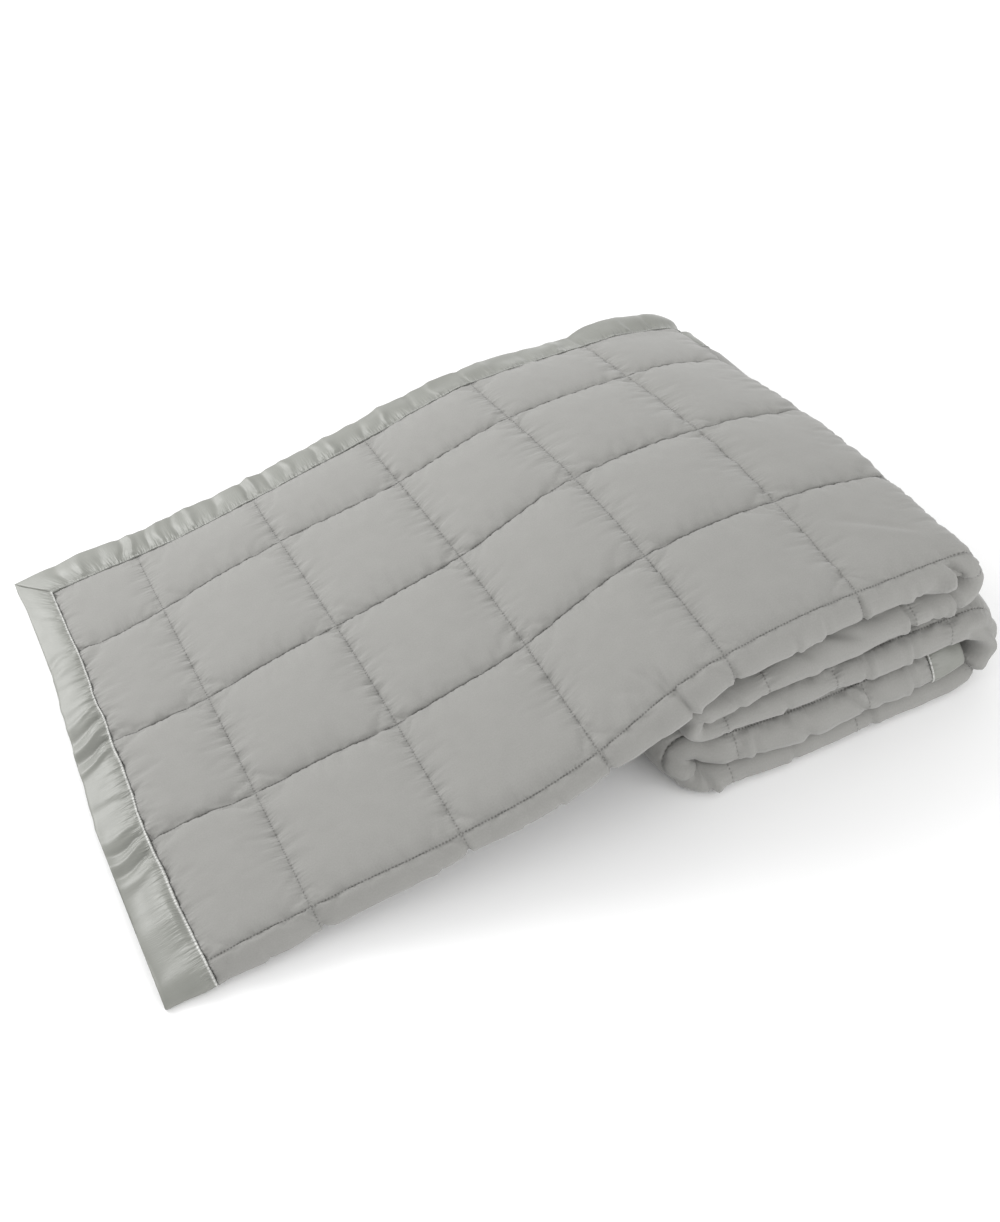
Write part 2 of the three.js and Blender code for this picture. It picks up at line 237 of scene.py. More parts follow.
def wandered(u, w):
    """Moves a place on the cloth by the unevenness of its seams: between two long seams the
    wander blends smoothly from one to the other."""
    seams = sorted(WANDER)
    shifts = [smooth(WANDER[seam], u) for seam in seams]
    across = shifts[0] + sum((b - a) * ramp(w, low, high)
                             for a, b, low, high in zip(shifts, shifts[1:], seams, seams[1:]))
    along = smooth(PUSH_FIRST, w) * (1 - ramp(u, *FIRST_FADES))
    along = along + smooth(PUSH_LATER, w) * ramp(u, *LATER_GROWS)
    along = along + EDGE_WOBBLE * noise(w * 4.1, 2.5, 91) * (1 - ramp(u, *WOBBLE_FADES))
    return u + along * 0.001 / SQUARE * (1 - ramp(u, *PUSH_ENDS)), w + across * 0.001 / SQUARE


def folded(u, w, out):
    """Where a point of the flat cloth lies in the folded blanket, in metres: u along the
    strip, w across the cloth, out from the middle of its ply towards the ply's face. The
    point is the strip's middle line at u plus the depth of the section at w along the
    line's normal, and the height is then cut towards the far edge."""
    u, w = wandered(u, w)
    half, shift = smooth(BODY, u), smooth(BODY, u, 2)
    y, depth, face_y, face_z = section(w, half, smooth(HANG, u))
    y = np.where(y < NEAR_NOSE, NEAR_NOSE + (y - NEAR_NOSE) * (1 - smooth(NOSE_TUCK, u)), y)
    tx, tz = np.interp(u, ALONG, TANGENT[0]), np.interp(u, ALONG, TANGENT[1])
    size = np.hypot(tx, tz)
    y = y + face_y * out + shift * ramp(w, *SHIFTED) * (1 - ramp(y, *UNSHIFTED))
    rise = depth * half + face_z * out
    x = np.interp(u, ALONG, LINE[:, 0]) - tz / size * rise
    z = np.interp(u, ALONG, LINE[:, 1]) + tx / size * rise
    high, right = ramp(z, *UPPER_RUNS), ramp(x, *RIGHT_END)
    z = z * (1 - smooth(SINK, x) * np.maximum(0, (y - SINK_START) / SINK_REACH) ** SINK_POWER)
    z = z - DROOP * high * right * ramp(y, *DROOP_GROWS)
    z = z + smooth(FAR_LIFT, x) * ramp(y, *LIFT_GROWS) * (1 - ramp(u, *LIFT_ENDS))
    x = x + smooth(SKEW, y) * high * right
    return np.stack([x - MIDDLE[0], y - MIDDLE[1], np.maximum(z, 0)], -1) * SQUARE


def stations(stops, step, close=0.0):
    """Places from the first stop to the last, about a step apart, with every stop among
    them, and where close is given two more beside each stop."""
    parts = [np.linspace(a, b, max(2, math.ceil((b - a) / step) + 1))[:-1] for a, b in zip(stops, stops[1:])]
    places = np.append(np.concatenate(parts), stops[-1])
    if close:
        beside = np.concatenate([np.array(stops[1:]) - close, np.array(stops[:-1]) + close])
        places = np.unique(np.concatenate([places, beside]).round(5))
    return places


def noise(x, y, seed):
    """Smooth random hills of size 1, from -1 to 1: random heights on a lattice, blended."""
    heights = np.random.default_rng(seed).uniform(-1, 1, (64, 64))
    x, y = np.broadcast_arrays(np.asarray(x, float), np.asarray(y, float))
    i, j = np.floor(x).astype(int), np.floor(y).astype(int)
    s, t = x - i, y - j
    s, t = s * s * s * (s * (s * 6 - 15) + 10), t * t * t * (t * (t * 6 - 15) + 10)
    corner = lambda a, b: heights[(i + a) % 64, (j + b) % 64]
    low = corner(0, 0) * (1 - s) + corner(1, 0) * s
    high = corner(0, 1) * (1 - s) + corner(1, 1) * s
    return low * (1 - t) + high * t


def grid_faces(rows, columns, start=0):
    """Four-sided faces of a grid of points, seen from outside."""
    index = start + np.arange(rows * columns).reshape(rows, columns)
    return np.stack([index[:-1, :-1], index[:-1, 1:], index[1:, 1:], index[1:, :-1]], -1).reshape(-1, 4)


def zipped(first, first_at, second, second_at):
    """Triangles between two edges with different numbers of points: each step of one edge
    is joined to the point of the other that its middle has reached."""
    first_mid = (first_at[1:] + first_at[:-1]) / 2
    second_mid = (second_at[1:] + second_at[:-1]) / 2
    to_second = np.searchsorted(second_mid, first_mid, side="left")
    to_first = np.searchsorted(first_mid, second_mid, side="right")
    return np.concatenate([
        np.stack([first[:-1], first[1:], second[to_second]], 1),
        np.stack([second[1:], second[:-1], first[to_first]], 1),
    ])


def solid(name, outer, outer_at, inner, inner_at, cloth, marks=None):
    """A closed piece from the grid of its outer face and the grid of its inner face, with
    its rim zipped shut. cloth gives each point's place on the flat cloth, in metres, for
    the weave, and marks are further numbers at each point for the material."""
    rows, columns = outer.shape[:2]
    inner_rows, inner_columns = inner.shape[:2]
    points = np.concatenate([outer.reshape(-1, 3), inner.reshape(-1, 3)])
    a = np.arange(rows * columns).reshape(rows, columns)
    b = rows * columns + np.arange(inner_rows * inner_columns).reshape(inner_rows, inner_columns)
    under = grid_faces(inner_rows, inner_columns, b[0, 0])[:, ::-1]
    quads = np.concatenate([grid_faces(rows, columns), under])
    (u, w), (inner_u, inner_w) = outer_at, inner_at
    rims = [
        zipped(a[0], w, b[0], inner_w)[:, ::-1],
        zipped(a[-1], w, b[-1], inner_w),
        zipped(a[:, 0], u, b[:, 0], inner_u),
        zipped(a[:, -1], u, b[:, -1], inner_u)[:, ::-1],
    ]
    triangles = np.concatenate(rims)
    mesh = bpy.data.meshes.new(name)
    corners = np.concatenate([quads.ravel(), triangles.ravel()]).astype(np.int32)
    sizes = np.concatenate([np.full(len(quads), 4), np.full(len(triangles), 3)])
    mesh.vertices.add(len(points))
    mesh.vertices.foreach_set("co", points.ravel())
    mesh.loops.add(len(corners))
    mesh.loops.foreach_set("vertex_index", corners)
    mesh.polygons.add(len(sizes))
    mesh.polygons.foreach_set("loop_start", np.concatenate([[0], np.cumsum(sizes)[:-1]]).astype(np.int32))
    mesh.update(calc_edges=True)
    layer = mesh.uv_layers.new(name="cloth")
    layer.data.foreach_set("uv", cloth.reshape(-1, 2)[corners].ravel())
    for key, values in (marks or {}).items():
        mesh.attributes.new(key, "FLOAT", "POINT").data.foreach_set("value", values.ravel())
    mesh.polygons.foreach_set("use_smooth", np.ones(len(sizes), bool))
    piece = bpy.data.objects.new(name, mesh)
    bpy.context.collection.objects.link(piece)
    return piece


FRAMES = 20  # steps in which the cloth is blown up
TAUT_LEVELS = 20  # grades of slack that the cloth is given


def puffed(u, w, sewn, rest_height, slack):
    """The flat cloth over its filling, in metres: a sheet that is a little too large for its
    seams, held along them and blown up by Blender's cloth. Gives each point's movement."""
    grid = np.stack([*np.meshgrid(u, w, indexing="ij"), rest_height / SQUARE], -1) * SQUARE
    flat = bpy.data.meshes.new("flat_cloth")
    faces = grid_faces(len(u), len(w))[:, ::-1]
    flat.from_pydata(grid.reshape(-1, 3), [], faces.tolist())
    sheet = bpy.data.objects.new("flat_cloth", flat)
    bpy.context.collection.objects.link(sheet)
    sheet.vertex_groups.new(name="sewn").add(np.flatnonzero(sewn.ravel()).tolist(), 1.0, "REPLACE")
    taut = sheet.vertex_groups.new(name="taut")
    levels = np.round(np.clip(1 - slack, 0, 1).ravel() * TAUT_LEVELS).astype(int)
    for level in range(TAUT_LEVELS + 1):
        taut.add(np.flatnonzero(levels == level).tolist(), level / TAUT_LEVELS, "REPLACE")
    modifier = sheet.modifiers.new("cloth", "CLOTH")
    cloth = modifier.settings
    cloth.quality = 5
    cloth.mass = 0.15
    cloth.air_damping = 2.0
    cloth.tension_stiffness = cloth.compression_stiffness = 12
    cloth.shear_stiffness = 4
    cloth.bending_stiffness = 0.05
    cloth.vertex_group_mass = "sewn"
    cloth.shrink_min, cloth.shrink_max = -0.034, -0.010
    cloth.vertex_group_shrink = "taut"
    cloth.use_pressure = True
    cloth.uniform_pressure_force = 4
    cloth.effector_weights.gravity = 0
    modifier.collision_settings.use_collision = False
    for number in range(1, FRAMES + 1):
        bpy.context.scene.frame_set(number)
    result = np.empty(grid.size)
    shaped = sheet.evaluated_get(bpy.context.evaluated_depsgraph_get())
    shaped.data.vertices.foreach_get("co", result)
    bpy.context.scene.frame_set(1)
    bpy.data.objects.remove(sheet)
    bpy.data.meshes.remove(flat)
    return result.reshape(grid.shape) - grid


def gap_to(places, seams):
    """Signed distance to the nearest seam, in metres."""
    distance = places[:, None] - np.array(seams)[None, :]
    nearest = np.abs(distance).argmin(1)
    return distance[np.arange(len(places)), nearest] * SQUARE


def crown(places, seams, shoulder=0.15):
    """0 on a seam and 1 on the flat of the square, rising as a quarter sine."""
    gap = np.abs(gap_to(places, seams)) / SQUARE
    return np.sin(np.minimum(1, gap / shoulder) * math.pi / 2)


COARSE_STEP = 0.14  # spacing of the points where the cloth is folded in, in squares
BESIDE_SEAM = 0.009  # how far from each seam the next points lie, in squares
INNER_STEPS = 0.25, 0.12  # spacing on the face inside the fold, along and across
ON_SEAM = 1e-6  # a point this close to a seam is sewn down, metres
SLACK_CROSS = 0.013  # how far from a cross seam the cloth is slack, metres
SLACK_SIDES = 0.7, 1.2  # how slack it is past the seam and before it
SLACK_LONG = 0.011  # how far from a long seam the cloth is slack, metres
SLACK_SHARE = 0.35  # and how slack it is there
NEAR_STRIP = 3.60, 3.75  # the squares end and the near fold's cloth begins between these
SHOULDER = 0.0016  # how much more the cloth rises close beside its seams, metres
SHOULDER_RISE = 0.0016  # the sheet's own rise by which most of that is gained, metres
CROWN = 0.0043  # height of a plain crown, metres
SEAM_LIFT = 0.0015  # a long seam rises this much between two crossings, metres
PUCKER = 0.0019  # height of the fine puckers beside a seam, metres
STRIP_PUCKER = 0.0013  # height of the puckers on the near fold, metres

# Depth of the narrow valley along a long seam: rows of (distance across, metres). Its
# near side is steep and its far side slopes.
VALLEY = ((0.0, 0.0003), (0.6, 0.0012), (2.7, 0.0012), (3.5, 0.0003), (4.6, 0.0004), (7.0, 0.0004))
STEEP_SIDE, SLOPING_SIDE = 0.0011, 0.0040

# Creases pressed into the cloth: each runs from one place on the cloth to another
# (along, across, along, across), as wide and as deep as given in millimetres. The cloth
# rises beside it on the side of the given sign.
CREASES = (
    (3.335, 3.40, 3.395, 4.05, 2.2, 5.0, -1), (3.20, 3.33, 3.34, 3.62, 2.5, 2.0, 1),
    (3.27, 3.50, 3.33, 3.66, 2.0, 2.2, -1), (3.03, 3.40, 3.24, 3.58, 3.0, 1.2, 1),
    (2.735, 3.58, 2.76, 4.10, 2.4, 3.4, 1), (2.66, 3.72, 2.68, 4.10, 2.6, 2.4, -1),
    (1.715, 3.58, 1.72, 4.10, 2.4, 3.2, -1), (1.52, 3.66, 1.50, 4.10, 3.4, 2.6, 1),
    (2.10, 3.66, 2.13, 4.05, 2.6, 2.0, 1), (2.36, 3.64, 2.34, 4.05, 3.0, 2.6, -1),
    (3.72, 3.58, 3.74, 4.10, 2.4, 3.2, 1), (4.18, 3.62, 4.22, 4.05, 2.6, 2.2, -1),
    (4.42, 3.62, 4.45, 4.05, 3.0, 2.4, 1), (4.725, 3.58, 4.75, 4.10, 2.4, 3.2, -1),
    (5.10, 3.60, 5.14, 4.05, 3.0, 2.2, 1), (0.72, 3.60, 0.73, 4.10, 2.4, 2.6, 1),
    (4.86, 2.95, 5.42, 3.35, 5.0, 1.6, 1), (0.35, 3.66, 0.36, 4.0, 3.0, 1.6, 1),
    (5.36, 3.62, 5.50, 3.88, 5.0, 14.0, 1), (5.26, 3.90, 5.44, 3.66, 3.2, 3.0, -1),
    (5.06, 3.84, 5.32, 3.72, 3.4, 2.6, 1),
)


def creased(u, w, creases):
    """Height of the listed creases at places on the cloth, in metres: a trough across each
    line that falls off as a bell, and a rise half as high beside it."""
    height = np.zeros(np.broadcast(u, w).shape)
    for first_u, first_w, last_u, last_w, wide, deep, side in creases:
        length = math.hypot(last_u - first_u, last_w - first_w)
        way_u, way_w = (last_u - first_u) / length, (last_w - first_w) / length
        along = ((u - first_u) * way_u + (w - first_w) * way_w) / length
        off = ((w - first_w) * way_u - (u - first_u) * way_w) * SQUARE * 1000 / wide
        fade = ramp(along, -0.05, 0.35) * (1 - ramp(along, 0.75, 1.05))
        trough = -np.exp(-off * off) + 0.6 * np.exp(-((off * side - 1.9) / 1.5) ** 2)
        height = height + 0.001 * deep * fade * trough
    return height


STRIP_STARTS, STRIP_ENDS = (3.62, 3.78), (4.05, 4.3)  # where the near fold's puckers are


def puckers(u, w, across_gap, along_gap):
    """Height of the gathers that sewing leaves beside the seams, in metres: short waves
    that stand square to the seam and die away from it, stronger before a cross seam."""
    before = np.exp(-np.abs(across_gap) / 0.0080) * np.where(across_gap < 0, 1.0, 1.15)
    before = before + 0.5 * np.exp(-u * SQUARE / 0.018)
    beside = np.exp(-np.abs(along_gap) / 0.006) * np.where(along_gap < 0, 0.7, 0.25)
    leaning = w + across_gap * 1.2
    waves = noise(leaning * 22 + 2.5, across_gap * 40 + np.round(u) * 5, 7) * before
    waves = waves + noise(u * 19, along_gap * 40 + np.round(w) * 7, 8) * beside * 0.9
    strip = ramp(w, *STRIP_STARTS) * (1 - ramp(w, *STRIP_ENDS))
    rows = 0.6 * noise(u * 7.5, w * 1.6, 9) + 0.4 * noise(u * 15, w * 2.0, 10)
    return PUCKER * waves + STRIP_PUCKER * strip * rows


def quilted(name, first, last, fine, step, nose, creases):
    """A length of the quilt from one seam to another: puffed squares where the cloth shows,
    between the fine limits across it, and plain crowns where it is folded in. nose is how
    full the near fold is, where the squares are 1."""
    seams = [s for s in CROSS_SEAMS if first <= s <= last]
    u = stations(seams, step, close=BESIDE_SEAM)
    inside = [s for s in LONG_SEAMS if fine[0] < s < fine[1]]
    w_fine = stations([fine[0], *inside, fine[1]], step, close=BESIDE_SEAM)
    before = stations([s for s in (0.0, fine[0]) if s <= fine[0]], COARSE_STEP)[:-1] if fine[0] > 0 else []
    after_stops = sorted({fine[1], *[s for s in LONG_SEAMS if s > fine[1]], *PLY_STARTS[3:]})
    after = stations(after_stops, COARSE_STEP)[1:]
    w = np.concatenate([before, w_fine, after])

    across_gap, along_gap = gap_to(u, CROSS_SEAMS), gap_to(w, LONG_SEAMS)
    square = np.array(CROSS_SEAMS)
    i = np.clip(np.searchsorted(square, u, side="right") - 1, 0, len(square) - 2)
    part = (u - square[i]) / (square[i + 1] - square[i])
    lift = np.sin(math.pi * part)[:, None] ** 2 * SEAM_LIFT * np.ones(len(w))
    crowns = crown(u, CROSS_SEAMS)[:, None] * crown(w, LONG_SEAMS)
    move = np.zeros((len(u), len(w), 3))
    fullness = 1 - (1 - nose) * ramp(w, *NEAR_STRIP)
    move[..., 2] = CROWN * crowns * fullness + lift
    lower, upper = len(before), len(before) + len(w_fine)
    sewn = (np.abs(across_gap) < ON_SEAM)[:, None] | (np.abs(gap_to(w_fine, LONG_SEAMS)) < ON_SEAM)
    sewn[:, [0, -1]] = True
    sewn[[0, -1], :] = True
    sides = np.where(across_gap > 0, *SLACK_SIDES)
    from_cross = (np.exp(-np.abs(across_gap) / SLACK_CROSS) * sides)[:, None]
    fine_gap = gap_to(w_fine, LONG_SEAMS)
    from_long = np.exp(-np.abs(fine_gap) / SLACK_LONG)[None, :] * SLACK_SHARE
    uneven = 0.60 + 0.45 * noise(u[:, None] * 2.3, w_fine[None, :] * 2.1, 5)
    slack = np.maximum(from_cross, from_long) * uneven
    moved = puffed(u, w_fine, sewn, lift[:, lower:upper], slack)
    rise = moved[..., 2]
    rise = (rise + SHOULDER * np.tanh(rise / SHOULDER_RISE)) * fullness[lower:upper]
    moved[..., 2] = rise + lift[:, lower:upper]
    move[:, lower:upper] = moved
    shown = ramp(w, fine[0] - 0.1, fine[0] + 0.1) * (1 - ramp(w, fine[1] - 0.2, fine[1]))
    detail = puckers(u[:, None], w[None, :], across_gap[:, None], along_gap[None, :])
    detail += creased(u[:, None], w[None, :], creases)
    side_width = np.where(along_gap > 0, STEEP_SIDE, SLOPING_SIDE)
    detail -= smooth(VALLEY, w) * np.exp(-np.abs(along_gap) / side_width)
    move[..., 2] += detail * shown
    half = smooth(BODY, u)[:, None]
    grid_u, grid_w = np.meshgrid(u, w, indexing="ij")
    out = SEAM_HALF * half + move[..., 2] / SQUARE
    hidden = grid_w > FAR_FOLD
    out = np.where(hidden, half * (SEAM_HALF + (CROWN_HALF - SEAM_HALF) * crowns), out)
    outer = folded(grid_u + move[..., 0] / SQUARE, grid_w + move[..., 1] / SQUARE, out)

    inner_u = stations(seams, INNER_STEPS[0])
    inner_w = stations(sorted(set(PLY_STARTS) | set(LONG_SEAMS)), INNER_STEPS[1])
    inner_crowns = crown(inner_u, CROSS_SEAMS)[:, None] * np.ones(len(inner_w))
    inner_half = smooth(BODY, inner_u)[:, None]
    inner_out = -inner_half * (SEAM_HALF + (CROWN_HALF - SEAM_HALF) * inner_crowns)
    inner = folded(*np.meshgrid(inner_u, inner_w, indexing="ij"), inner_out)

    cloth = np.concatenate([
        np.stack([grid_u, grid_w], -1).reshape(-1, 2),
        np.stack(np.meshgrid(inner_u, inner_w, indexing="ij"), -1).reshape(-1, 2),
    ]) * SQUARE
    across_gap, along_gap = np.abs(across_gap), np.abs(along_gap)
    marks = {
        "to_cross_seam": np.concatenate([
            np.repeat(across_gap[:, None], len(w), 1).ravel(),
            np.repeat(np.abs(gap_to(inner_u, CROSS_SEAMS))[:, None], len(inner_w), 1).ravel()]),
        "to_long_seam": np.concatenate([
            np.repeat(along_gap[None, :], len(u), 0).ravel(),
            np.repeat(np.abs(gap_to(inner_w, LONG_SEAMS))[None, :], len(inner_u), 0).ravel()]),
    }
    return solid(name, outer, (u, w), inner, (inner_u, inner_w), cloth, marks)


def node(tree, kind, inputs=None, **settings):
    """One shader node: its settings, and for each input a number or another node's output."""
    made = tree.nodes.new(kind)
    for key, value in settings.items():
        setattr(made, key, value)
    for key, value in (inputs or {}).items():
        if isinstance(value, bpy.types.NodeSocket):
            tree.links.new(value, made.inputs[key])
        else:
            made.inputs[key].default_value = value
    return made


def sums(tree, operation, a, b=0.0, c=0.0):
    """One step of arithmetic on two or three shader values."""
    return node(tree, "ShaderNodeMath", {0: a, 1: b, 2: c}, operation=operation).outputs[0]


STITCH = 0.0033  # distance between two stitches, metres
SEAM_LINE = 0.0008  # half width of the painted shade line along a seam, metres
WEAVE = 0.0007  # distance between two threads of the weave, metres
FOLD_STARTS = 3.1  # the painted seam shade is solid up to this distance across and dotted past it


def microfibre():
    """Matt brushed microfibre: a close plain weave as a product of two sine waves, a faint
    mottle, stitches sunk along the seams as dots of shadow, where a bell round the seam is
    multiplied by a sine along it, and gathers of stretched noise that fade away from them."""
    material = bpy.data.materials.new("quilted_cloth")
    material.use_nodes = True
    tree = material.node_tree
    tree.nodes.clear()
    place = node(tree, "ShaderNodeTexCoord").outputs["UV"]
    parts = node(tree, "ShaderNodeSeparateXYZ", {0: place}).outputs
    along, across = parts["X"], parts["Y"]

    def stitch_shade(gap_name, run, dotted):
        """Dots of shadow a stitch apart on the line of a seam: a bell round the seam times a
        sine along it. dotted is how much darker the holes are than the furrow between."""
        gap = node(tree, "ShaderNodeAttribute", attribute_name=gap_name).outputs["Fac"]
        near = sums(tree, "DIVIDE", gap, SEAM_LINE)
        line = sums(tree, "EXPONENT", sums(tree, "MULTIPLY", sums(tree, "MULTIPLY", near, near), -1.0))
        wave = sums(tree, "SINE", sums(tree, "MULTIPLY", run, 2 * math.pi / STITCH))
        dots = sums(tree, "MULTIPLY_ADD", wave, dotted, 0.50)
        return sums(tree, "MULTIPLY", line, dots), gap

    # Painted shade in the seams: each seam's furrow and stitch holes are darkened, the long seams boldly on
    # the squares and dotted on the fold, the cross seams faintly and dotted.
    on_fold = sums(tree, "GREATER_THAN", across, FOLD_STARTS * SQUARE)
    cross_dots, cross_gap = stitch_shade("to_cross_seam", across, 0.45)
    hole = sums(tree, "MULTIPLY_ADD", on_fold, 0.30, 0.15)
    long_dots, long_gap = stitch_shade("to_long_seam", along, hole)
    furrow = sums(tree, "MULTIPLY_ADD", on_fold, -0.65, 1.45)
    faint = sums(tree, "MULTIPLY", cross_dots, 0.55)
    threads_and_seam_shade = sums(tree, "MAXIMUM", faint, sums(tree, "MULTIPLY", long_dots, furrow))

    cloudy = {"Vector": place, "Scale": 45.0, "Detail": 5.0, "Roughness": 0.6}
    mottle = node(tree, "ShaderNodeTexNoise", cloudy)
    grainy = {"Vector": place, "Scale": 700.0, "Detail": 2.0, "Roughness": 0.7}
    grain = node(tree, "ShaderNodeTexNoise", grainy)
    fine_tone = sums(tree, "MULTIPLY", grain.outputs["Fac"], 0.65)
    tone = sums(tree, "MULTIPLY_ADD", mottle.outputs["Fac"], 0.35, fine_tone)
    greys = {"Factor": tone, 6: (0.215, 0.213, 0.202, 1), 7: (0.305, 0.302, 0.288, 1)}
    base = node(tree, "ShaderNodeMix", greys, data_type="RGBA")
    # The painted seam shade darkens the cloth towards this near-black grey.
    seam_shaded = node(tree, "ShaderNodeMix", {"Factor": threads_and_seam_shade, 6: base.outputs[2], 7: (0.105, 0.103, 0.098, 1)},
                data_type="RGBA")

    warp = sums(tree, "SINE", sums(tree, "MULTIPLY", along, 2 * math.pi / WEAVE))
    weft = sums(tree, "SINE", sums(tree, "MULTIPLY", across, 2 * math.pi / WEAVE))
    weave = sums(tree, "MULTIPLY", warp, weft)
    surface = sums(tree, "MULTIPLY_ADD", grain.outputs["Fac"], 1.2, weave)
    fine = node(tree, "ShaderNodeBump", {"Strength": 0.25, "Distance": 0.0001, "Height": surface})

    def gathers(gap, run, off):
        """Fine gathers beside a seam: noise about 4 mm apart along it and five times as long
        away from it, fading as an exponential of the gap."""
        here = node(tree, "ShaderNodeCombineXYZ", {0: sums(tree, "MULTIPLY", run, 270.0),
                                                   1: sums(tree, "MULTIPLY", off, 45.0)}).outputs[0]
        waves = node(tree, "ShaderNodeTexNoise", {"Vector": here, "Scale": 1.0, "Detail": 1.0})
        fade = sums(tree, "EXPONENT", sums(tree, "DIVIDE", gap, -0.0070))
        return sums(tree, "MULTIPLY", sums(tree, "SUBTRACT", waves.outputs["Fac"], 0.5), fade)

    beside_long = gathers(long_gap, along, across)
    both = sums(tree, "MULTIPLY_ADD", beside_long, 0.6, gathers(cross_gap, across, along))
    pressed = sums(tree, "MULTIPLY_ADD", threads_and_seam_shade, -0.35, both)
    gathered = node(tree, "ShaderNodeBump", {"Strength": 1.0, "Distance": 0.0030, "Height": pressed,
                                             "Normal": fine.outputs["Normal"]})

    shader = node(tree, "ShaderNodeBsdfPrincipled", {
        "Base Color": seam_shaded.outputs[2], "Roughness": 0.88, "Specular IOR Level": 0.25,
        "Sheen Weight": 0.25, "Sheen Roughness": 0.5, "Normal": gathered.outputs["Normal"],
    })
    output = node(tree, "ShaderNodeOutputMaterial")
    tree.links.new(shader.outputs["BSDF"], output.inputs["Surface"])
    return material


microfibre_cloth = microfibre()
FINE_STEP = 0.021  # spacing of the points where the cloth shows, 3 mm
run = quilted("quilted_run", 0.0, SPLIT_SEAM, fine=(0.0, 4.7), step=FINE_STEP, nose=0.35, creases=CREASES)
run.data.materials.append(microfibre_cloth)
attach(run, "root")
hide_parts("quilted_panel")

# ======================================================================
# The quilt's pile: the rest of the same strip, folded back and forth four
# more times under the first run. Its near edge is the fold of the strip.
# ======================================================================

# The same kind of creases: on the second, third and last runs, on the bottom one, and at
# the turns, whose near ends are pinched.
PILE_CREASES = (
    (6.27, 4.02, 6.20, 3.60, 2.6, 5.5, 1), (6.98, 3.99, 6.50, 3.76, 4.0, 2.6, 1),
    (6.75, 4.02, 6.38, 3.86, 3.2, 2.0, -1), (7.12, 3.98, 6.86, 3.70, 4.0, 2.2, 1),
    (7.70, 3.98, 7.50, 3.68, 3.5, 2.4, -1), (6.10, 4.00, 6.04, 3.64, 3.2, 2.4, -1),
    (5.98, 4.02, 5.86, 3.60, 2.8, 6.5, 1), (8.62, 3.60, 8.66, 3.92, 3.0, 2.6, 1),
    (9.30, 3.58, 9.24, 3.88, 3.0, 2.2, -1), (9.62, 3.56, 9.66, 3.88, 2.8, 2.8, 1),
    (13.60, 3.56, 13.66, 3.92, 3.2, 2.6, 1), (13.84, 3.58, 14.12, 3.86, 4.0, 3.4, 1),
    (14.28, 3.55, 14.52, 3.80, 3.2, 3.4, -1), (14.42, 3.58, 14.66, 3.78, 3.2, 2.6, 1),
    (14.84, 3.55, 14.92, 3.86, 3.2, 2.8, 1), (11.55, 3.62, 11.60, 4.05, 3.4, 2.6, 1),
    (12.20, 3.62, 12.25, 4.05, 3.4, 2.6, -1), (7.78, 3.68, 7.96, 3.96, 4.0, 5.0, 1),
    (12.95, 3.92, 13.02, 3.60, 2.6, 4.8, 1), (12.92, 3.92, 12.78, 3.58, 2.6, 4.2, -1),
    (13.12, 3.58, 13.10, 3.90, 3.2, 4.0, 1), (10.02, 3.77, 10.56, 3.69, 3.0, 5.0, 1),
    (10.66, 3.58, 10.74, 3.96, 3.6, 5.0, 1),
)
PILE_STEP = 0.024  # spacing of its points where the cloth shows, 3.5 mm
pile = quilted("quilted_pile", SPLIT_SEAM, END_SEAM, fine=(2.7, 4.7), step=PILE_STEP, nose=0.30,
               creases=PILE_CREASES)
pile.data.materials.append(microfibre_cloth)
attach(pile, "root")
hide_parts("quilted_panel")

# ======================================================================
# The satin binding. A strip of satin on each edge, folded over it and sewn
# down through both layers, mitred at the corners. Sewing gathers it a little.
# ======================================================================

JOIN = 0.002  # space between quilt and binding
SATIN_HALF = 0.20  # half thickness of the binding, of the strip's half thickness
SATIN_FOLD = 0.0009  # half thickness at its folded outer edge, metres
LIP = 0.0011  # height of the corded edge where the binding is sewn down, metres
CORD_PLACE, CORD_WIDTH = 0.0012, 0.0009  # how far it is from the seam, and its half width
CORD_STITCH = 0.0034  # distance between two stitches in it, metres
MITRE = 0.6  # how far from a corner the binding starts to lean to its mitre
ACROSS_BAND = np.concatenate([np.linspace(0, 0.12, 6)[:-1], np.linspace(0.12, 1, 24)])

# Width of the binding along the end that shows, in rows of (distance across, width): it
# is drawn in by its seam at the far corner and lies out flat at the near one.
END_WIDTH = ((0.00, 0.240), (0.80, 0.245), (1.50, 0.270), (2.45, 0.335), (3.40, 0.365), (3.80, 0.350),
             (4.60, 0.310), (5.50, 0.260), (6.60, 0.215), (7.50, 0.205), (11.0, 0.250), (14.5, 0.205))

# Deep folds in the binding of the end that shows: rows of (distance across at the seam,
# how far it has slid to the near side at the outer edge, width and depth in millimetres).
END_FOLDS = (
    (0.30, 0.04, 4.0, -1.8), (0.42, 0.04, 4.0, 1.2), (0.66, 0.05, 5.0, -2.6),
    (0.80, 0.06, 4.5, 1.8), (0.98, 0.05, 5.0, -2.0), (1.18, 0.06, 4.0, 1.4),
    (1.28, 0.16, 4.0, 2.8), (1.38, 0.20, 5.0, -6.0), (1.52, 0.14, 4.0, 4.2),
    (1.62, 0.10, 5.5, -7.0), (1.74, 0.10, 3.4, 4.0), (2.20, 0.03, 6.0, -1.6),
    (2.46, 0.04, 4.0, 2.6), (2.55, 0.06, 3.6, -3.8), (2.63, 0.10, 3.4, 3.4),
    (2.71, 0.10, 4.4, -5.0), (2.84, 0.02, 5.0, 2.4), (3.25, 0.00, 30.0, 6.5),
    (3.98, 0.00, 8.0, -2.6),
)
